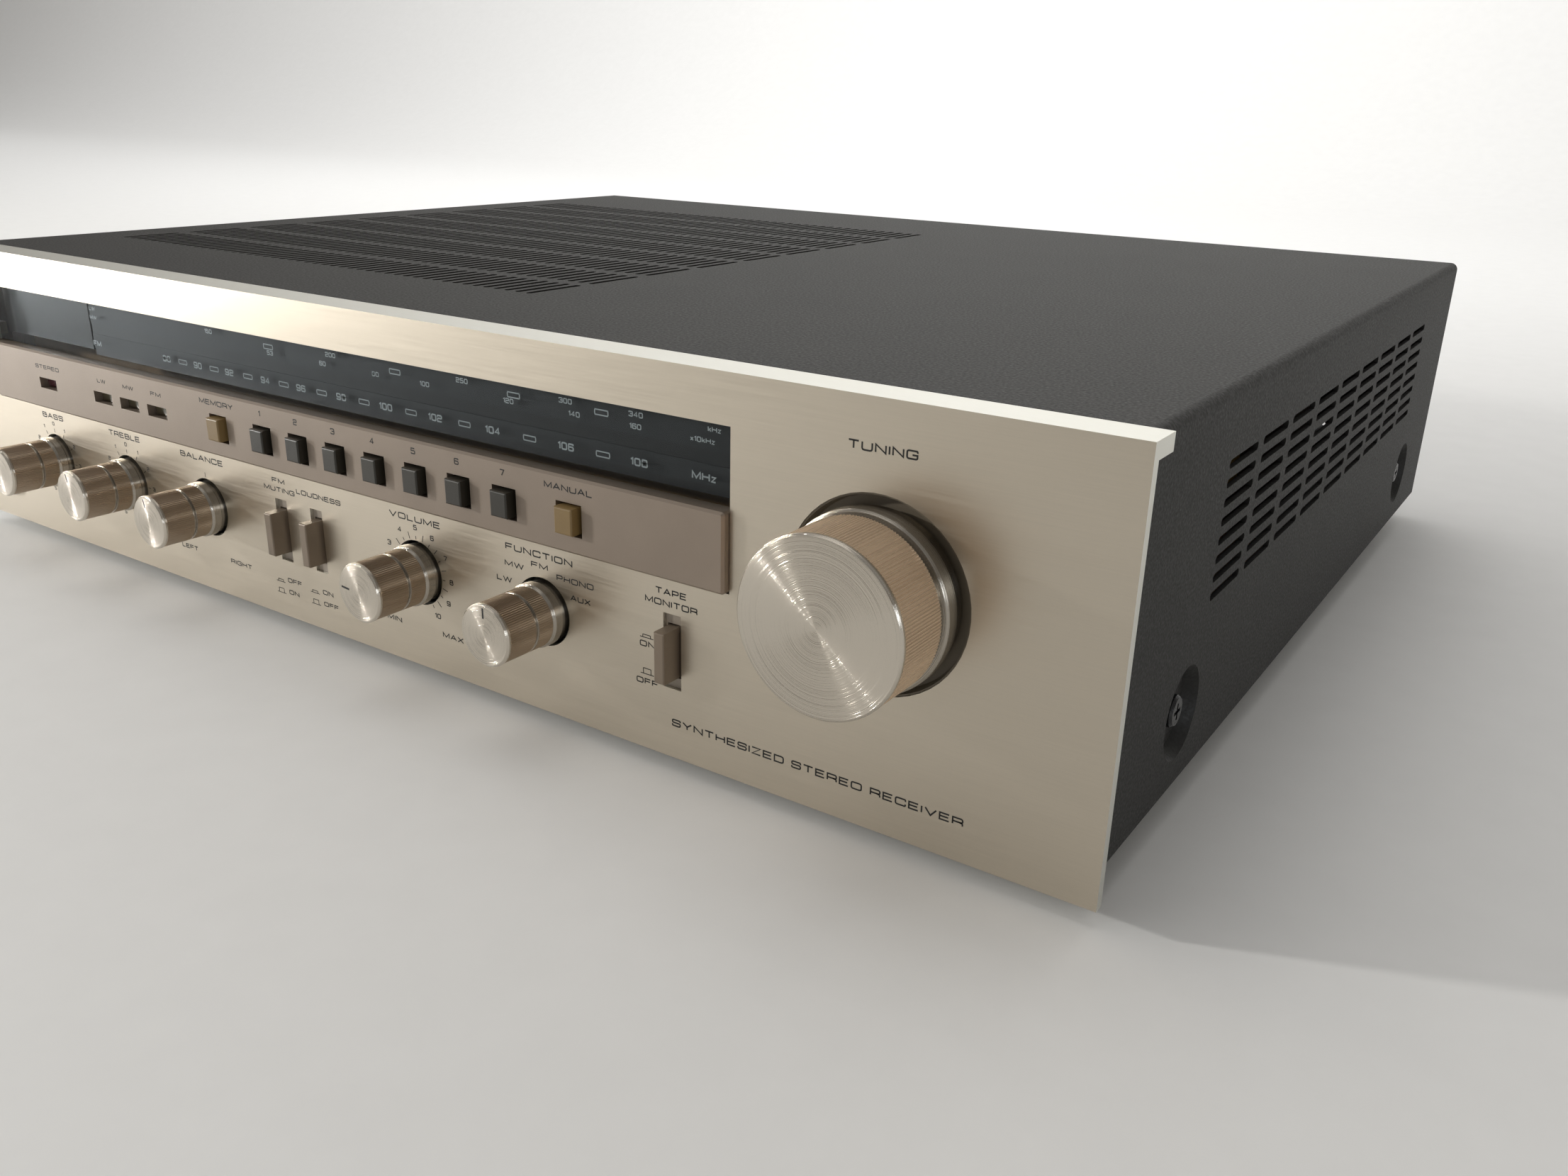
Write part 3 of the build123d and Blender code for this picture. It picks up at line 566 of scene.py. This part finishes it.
INK_LIFT = 0.01 * MM
INK_Y = PANEL_FACE - INK_LIFT
TICK_WIDTH, TONE_TICK_WIDTH = 0.2, 0.18
VOLUME_TICKS = (9.3, 10.2, 11.2)
VOLUME_SWEEP = 150
TONE_TICKS = (9.4, 10.8)
DIAL_NUMBER_R = 12.5
VOLUME_CAP, TONE_CAP, FUNCTION_CAP = 1.45, 1.3, 1.5
LAMP_WORDS_Z, BUTTON_WORDS_Z, BUTTON_NUMBERS_Z = 63.5, 65.2, 65.4
PANEL_WORDS = (("TUNING", 157.2, 87.9, 1.95, 15.7), ("VOLUME", 18.95, 46.0, 1.75, 19.5),
               ("FUNCTION", 63.3, 45.9, 1.75, 22.3), ("TAPE", 104.4, 45.6, 1.6, 9.0),
               ("MONITOR", 104.4, 42.8, 1.6, 15.2), ("BALANCE", -74.6, 46.2, 1.8, 21.3),
               ("BASS", -157.6, 46.2, 1.8, 12.6), ("TREBLE", -115.5, 46.4, 1.8, 17.3),
               ("FM", -37.9, 45.9, 1.5, 5.6), ("MUTING", -37.9, 43.3, 1.5, 13.8),
               ("LOUDNESS", -20.5, 44.4, 1.5, 19.1), ("LEFT", -87.4, 15.7, 1.45, 8.4),
               ("RIGHT", -61.2, 15.7, 1.45, 10.4), ("MIN", 7.6, 15.5, 1.55, 5.8),
               ("MAX", 30.6, 15.5, 1.55, 7.9),
               ("OFF", -35.7, 15.8, 1.4, 6.4), ("ON", -36.6, 12.1, 1.4, 4.6), ("ON", -20.7, 15.8, 1.4, 4.6),
               ("OFF", -19.8, 12.2, 1.4, 6.4), ("ON", 97.3, 31.2, 1.5, 4.6), ("OFF", 97.1, 21.6, 1.5, 6.6),
               ("POWER", -198.5, 82.4, 1.5, 12.5), ("SYNTHESIZED STEREO RECEIVER", 142.45, 13.3, 1.9, 76.1))
# Around the function knob: text, x and z from the knob's centre, and width
FUNCTION_WORDS = (("LW", -12.75, 5.8, 5.3), ("MW", -9.0, 10.2, 6.6), ("FM", -0.4, 11.8, 5.6),
                  ("PHONO", 11.15, 10.2, 11.9), ("AUX", 12.75, 6.0, 6.5))
# Beside the switch positions: x, z and whether the drawn button is pushed in
SWITCH_SYMBOLS = ((97.1, 33.4, True), (97.1, 24.1, False), (-42.3, 15.2, True), (-42.5, 11.7, False),
                  (-26.6, 15.3, True), (-26.6, 11.8, False))


def add_switch_symbol(bm, x, z, pressed):
    """Outline of a push button on its panel line, pushed in or standing out."""
    half, base, line = 1.15, 2.0, 0.2
    low, high = z - 0.6, z + (0.1 if pressed else 0.8)
    for start, end in (((x - base, low), (x + base, low)), ((x - half, high), (x + half, high)),
                       ((x - half, low), (x - half, high)), ((x + half, low), (x + half, high))):
        add_bar(bm, start, end, line, INK_Y, INK_DEPTH)


def add_volume_scale(bm):
    middle = knob_centre("volume")
    start, short, long = VOLUME_TICKS
    for step in range(21):
        degrees = 15 * step - VOLUME_SWEEP
        end = long if step % 2 else short
        add_bar(bm, clock(middle, start, degrees), clock(middle, end, degrees), TICK_WIDTH, INK_Y,
                INK_DEPTH)
    for number in range(1, 11):
        spot = clock(middle, DIAL_NUMBER_R, 30 * number - VOLUME_SWEEP)
        add_text(bm, str(number), spot[0], spot[1], VOLUME_CAP, INK_Y)


def add_tone_scale(bm, name):
    middle = knob_centre(name)
    start, end = TONE_TICKS
    for step in range(-5, 6):
        degrees = 30 * step
        add_bar(bm, clock(middle, start, degrees), clock(middle, end, degrees), TONE_TICK_WIDTH, INK_Y,
                INK_DEPTH)
        spot = clock(middle, DIAL_NUMBER_R, degrees)
        add_text(bm, str(abs(step)), spot[0], spot[1], TONE_CAP, INK_Y)


def front_lettering():
    bm = bmesh.new()
    function, balance = knob_centre("function"), knob_centre("balance")
    for text, x, z, cap, width in PANEL_WORDS:
        add_text(bm, text, x, z, cap, INK_Y, width)
    for text, dx, dz, width in FUNCTION_WORDS:
        add_text(bm, text, function[0] + dx, function[1] + dz, FUNCTION_CAP, INK_Y, width)
    for x, z, pressed in SWITCH_SYMBOLS:
        add_switch_symbol(bm, x, z, pressed)
    start, end = TONE_TICKS
    add_bar(bm, clock(balance, start, 0), clock(balance, end, 0), TICK_WIDTH, INK_Y, INK_DEPTH)
    add_volume_scale(bm)
    add_tone_scale(bm, "bass")
    add_tone_scale(bm, "treble")
    piece_from(bm, "panel_lettering", INK, "receiver")


def bezel_lettering():
    bm = bmesh.new()
    y = SUB_PANEL_FACE - INK_LIFT
    for text, node, width in (("MEMORY", "memory_button", 16.0), ("MANUAL", "manual_button", 15.0)):
        add_text(bm, text, centre_of(node).x / MM, BUTTON_WORDS_Z, 1.6, y, width)
    for number, node in enumerate(PRESETS, start=1):
        add_text(bm, str(number), centre_of(node).x / MM - 0.2, BUTTON_NUMBERS_Z, 1.7, y)
    lamps = (("STEREO", -151.3, 14.2), ("LW", -119.6, 4.7), ("MW", -104.9, 5.7), ("FM", -90.3, 5.3))
    for text, x, width in lamps:
        add_text(bm, text, x, LAMP_WORDS_Z, 1.3, y, width)
    piece_from(bm, "bezel_lettering", INK, "receiver")


# Dial behind the smoked window: each number's text and centre x in mm; a row is the z of its middle

FM_NUMBERS = (("88", -89.1), ("90", -73.5), ("92", -58.3), ("94", -41.7), ("96", -26.0), ("98", -9.1),
              ("100", 8.6), ("102", 27.2), ("104", 47.5), ("106", 71.5), ("108", 93.7))
LW_NUMBERS = (("150", -66.0), ("200", -11.9), ("250", 37.8), ("300", 71.9), ("340", 93.0))
MW_NUMBERS = (("53", -38.0), ("60", -15.5), ("80", 5.7), ("100", 24.2), ("120", 53.4), ("140", 74.5),
              ("160", 92.8))
FM_ROW, MW_ROW, LW_ROW = 73.7, 81.8, 84.5
BAND_NAMES_X = -126.5
DIAL_WEIGHT = 0.2
BAND_COLOUR = (0.02, 0.0215, 0.023)


def dial_lettering():
    bm = bmesh.new()
    y = GLASS_BACK + 0.1 * MM
    for numbers, z, cap in ((FM_NUMBERS, FM_ROW, 1.9), (MW_NUMBERS, MW_ROW, 1.3),
                            (LW_NUMBERS, LW_ROW, 1.3)):
        for text, x in numbers:
            add_text(bm, text, x, z, cap, y, weight=DIAL_WEIGHT)
    for text, x, z, cap in (("MHz", 112.0, FM_ROW, 1.9), ("x10kHz", 111.6, MW_ROW, 1.2),
                            ("kHz", 114.8, LW_ROW, 1.2), ("LW", BAND_NAMES_X, LW_ROW, 1.2),
                            ("MW", BAND_NAMES_X, MW_ROW, 1.2), ("FM", BAND_NAMES_X, FM_ROW, 1.7)):
        add_text(bm, text, x, z, cap, y, weight=DIAL_WEIGHT)
    for numbers, z in ((FM_NUMBERS, FM_ROW), (LW_NUMBERS, LW_ROW - 1.1)):
        for (_, left), (_, right) in zip(numbers, numbers[1:]):
            add_frame(bm, ((left + right) / 2 + 0.4, z), (4.0, 1.2), 0.28, y)
    piece_from(bm, "dial_lettering", DIAL_INK, "receiver")


def dial_bands():
    """Printed bands behind the window: lighter ones carry the scales."""
    low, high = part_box("dial_scale")
    left, right = low.x / MM, high.x / MM
    for name, bottom, top in (("dial_band_upper", 79.4, 85.9), ("dial_band_lower", 71.4, 76.2)):
        bm = bmesh.new()
        middle = (bottom + top) / 2
        add_bar(bm, (left, middle), (right, middle), top - bottom, low.y - 0.05 * MM, 0.1)
        piece_from(bm, name, plastic(name, BAND_COLOUR, 0.45, grain_mm=0.002), "receiver")


# Knob detail: pointers as degrees, inner and outer radius; sleeves as depths of their ends from the panel

POINTERS = {"bass": (-8, 4.4, 7.0), "treble": (-12, 4.4, 7.0), "balance": (-12, 4.4, 7.0),
            "volume": (-85, 3.6, 6.5), "function": (0, 4.4, 7.0)}
POINTER_WIDTH = 0.55
POINTER_SUNK = 0.01 * MM
SLEEVE_WALL = 0.25
TUNING_SLEEVE_R, TUNING_RIBS, TUNING_RIB_HEIGHT = 18.53, 170, 0.15
TUNING_SLEEVE = (-20.4, -6.8)
SMALL_SLEEVE_R, SMALL_RIBS, SMALL_RIB_HEIGHT = 7.66, 90, 0.09
SMALL_SLEEVES = {"front": (-18.2, -9.95), "rear": (-8.95, -4.4)}


def knurled_sleeve(name, look, knob, radius, ends, ribs, height):
    """Closed ring of straight ribs around a knob's body; ends are its front and back depths in mm."""
    x, z = knob_centre(knob)
    front, back = ends
    bm = bmesh.new()
    rows = []
    for depth, inner in ((front, True), (front, False), (back, False), (back, True)):
        row = []
        for i in range(ribs * 4):
            raised = i % 4 in (1, 2) and not inner
            r = radius - SLEEVE_WALL if inner else radius + (height if raised else 0.0)
            px, pz = clock((x, z), r, 360 * i / (ribs * 4))
            row.append(bm.verts.new((px * MM, PANEL_FACE + depth * MM, pz * MM)))
        rows.append(row)
    for a, b in zip(rows, rows[1:] + rows[:1]):
        for i in range(ribs * 4):
            j = (i + 1) % (ribs * 4)
            bm.faces.new((a[i], a[j], b[j], b[i]))
    piece_from(bm, name, look, knob)


def pointer_mark(knob):
    degrees, inner, outer = POINTERS[knob]
    middle = knob_centre(knob)
    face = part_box(f"{knob}_knob")[0].y
    bm = bmesh.new()
    add_bar(bm, clock(middle, inner, degrees), clock(middle, outer, degrees), POINTER_WIDTH,
            face + POINTER_SUNK, INK_DEPTH)
    piece_from(bm, f"{knob}_pointer", INK, knob)


# Lettering on the back: text, centre x and centre z in mm

REAR_WORDS = (("PHONO", -178, 58), ("AUX", -158, 58), ("TAPE PLAY", -138, 64), ("TAPE REC", -118, 58),
              ("SPEAKERS", -15, 52), ("FM 75", 57, 84), ("AM", 90, 84), ("GND", 116, 84),
              ("FUSE", 140, 44), ("AC IN", 170, 44))
REAR_SIDES = (("L", -189, 48), ("R", -189, 28))
REAR_CAP, REAR_SIDE_CAP = 2.2, 2.4


def rear_lettering():
    bm = bmesh.new()
    y = REAR_FACE + 0.02 * MM
    for words, cap in ((REAR_WORDS, REAR_CAP), (REAR_SIDES, REAR_SIDE_CAP)):
        for text, x, z in words:
            add_text(bm, text, x, z, cap, y, back=True)
    piece_from(bm, "rear_lettering", plastic("rear_ink", (0.6, 0.6, 0.57), 0.5), "receiver")


front_lettering()
bezel_lettering()
dial_lettering()
dial_bands()
rear_lettering()
knurled_sleeve("tuning_knurl", TUNING_KNURL, "tuning", TUNING_SLEEVE_R, TUNING_SLEEVE, TUNING_RIBS,
               TUNING_RIB_HEIGHT)
for knob in SMALL_KNOBS:
    for place, ends in SMALL_SLEEVES.items():
        knurled_sleeve(f"{knob}_{place}_knurl", SMALL_KNURL, knob, SMALL_SLEEVE_R, ends, SMALL_RIBS,
                       SMALL_RIB_HEIGHT)
    pointer_mark(knob)


# Studio

def studio():
    """Pale floor that curves up into a backdrop."""
    bm = bmesh.new()
    front, start, bend, steps, half_width, top = -4.0, 1.6, 0.9, 12, 9.0, 5.0
    profile = [(front, 0.0), (start, 0.0)]
    for i in range(1, steps + 1):
        angle = math.pi / 2 * i / steps
        profile.append((start + bend * math.sin(angle), bend * (1 - math.cos(angle))))
    profile.append((start + bend, top))
    rows = [[bm.verts.new((x, y, z)) for x in (-half_width, half_width)] for y, z in profile]
    for a, b in zip(rows, rows[1:]):
        bm.faces.new((a[0], a[1], b[1], b[0]))
    mesh = bpy.data.meshes.new("studio_floor")
    bm.to_mesh(mesh)
    bm.free()
    for polygon in mesh.polygons:
        polygon.use_smooth = True
    floor = bpy.data.objects.new("studio_floor", mesh)
    bpy.context.scene.collection.objects.link(floor)
    mesh.materials.append(plastic("floor_paper", (0.92, 0.92, 0.91), 0.7, 300, 0.05, 0.01).material)


def area_light(name, place, target, size, power, colour=(1, 1, 1)):
    data = bpy.data.lights.new(name, "AREA")
    data.size = size
    data.energy = power
    data.color = colour
    light = bpy.data.objects.new(name, data)
    light.location = place
    light.visible_camera = False
    light.rotation_euler = (Vector(target) - Vector(place)).to_track_quat("-Z", "Y").to_euler()
    bpy.context.scene.collection.objects.link(light)
    return light


def world_sky():
    """Soft light from all around: bright and neutral above, dimmer and warm toward the floor."""
    world = bpy.data.worlds.new("studio")
    world.use_nodes = True
    tree = world.node_tree
    background = tree.nodes["Background"]
    background.inputs["Strength"].default_value = 0.32
    place = tree.nodes.new("ShaderNodeTexCoord")
    split = tree.nodes.new("ShaderNodeSeparateXYZ")
    ramp = tree.nodes.new("ShaderNodeValToRGB")
    low, high = ramp.color_ramp.elements
    low.position, high.position = 0.0, 0.6
    low.color, high.color = (0.42, 0.34, 0.26, 1), (0.95, 0.94, 0.92, 1)
    tree.links.new(place.outputs["Generated"], split.inputs[0])
    tree.links.new(split.outputs["Z"], ramp.inputs["Fac"])
    tree.links.new(ramp.outputs["Color"], background.inputs["Color"])
    bpy.context.scene.world = world


def lighting():
    """Key light from the left, soft light above, two lamps on the backdrop and two seen only in gloss."""
    world_sky()
    bpy.context.scene.view_settings.view_transform = "Standard"
    area_light("window", (-1.45, -0.84, 0.46), (0, -0.16, 0.05), 0.09, 15, (1.0, 0.98, 0.94))
    area_light("ceiling", (-0.3, 0.2, 1.9), (0, 0, 0), 1.6, 10, (1.0, 0.98, 0.95))
    for name, x, power in (("backdrop_wash", -0.8, 34), ("backdrop_wash_left", -3.2, 14)):
        area_light(name, (x, 0.9, 1.9), (x, 2.5, 1.2), 2.4, power)
    glint = area_light("glint", (-1.25, -0.69, 0.078), (0.157, -0.184, 0.057), 0.03, 4.0)
    glint.visible_diffuse = False
    side = area_light("side_window", (1.3, -0.75, 0.25), (0.15, -0.17, 0.06), 0.3, 3, (0.84, 0.91, 1.0))
    side.visible_diffuse = False


# Camera's place from the panel's upper right corner, in mm, and its turn in degrees
CAMERA_FROM_CORNER = (66.6, -211.2, 53.6)
CAMERA_TURN = (69.01, -1.28, 34.31)


def camera():
    data = bpy.data.cameras.new("camera")
    data.sensor_width = 36.0
    data.lens = 29.65
    data.clip_start = 0.01
    holder = bpy.data.objects.new("camera", data)
    panel_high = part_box("front_panel")[1]
    corner = Vector((panel_high.x, PANEL_FACE, panel_high.z))
    holder.location = corner + Vector(CAMERA_FROM_CORNER) * MM
    holder.rotation_euler = Euler([math.radians(angle) for angle in CAMERA_TURN])
    bpy.context.scene.collection.objects.link(holder)
    bpy.context.scene.camera = holder


studio()
lighting()
camera()
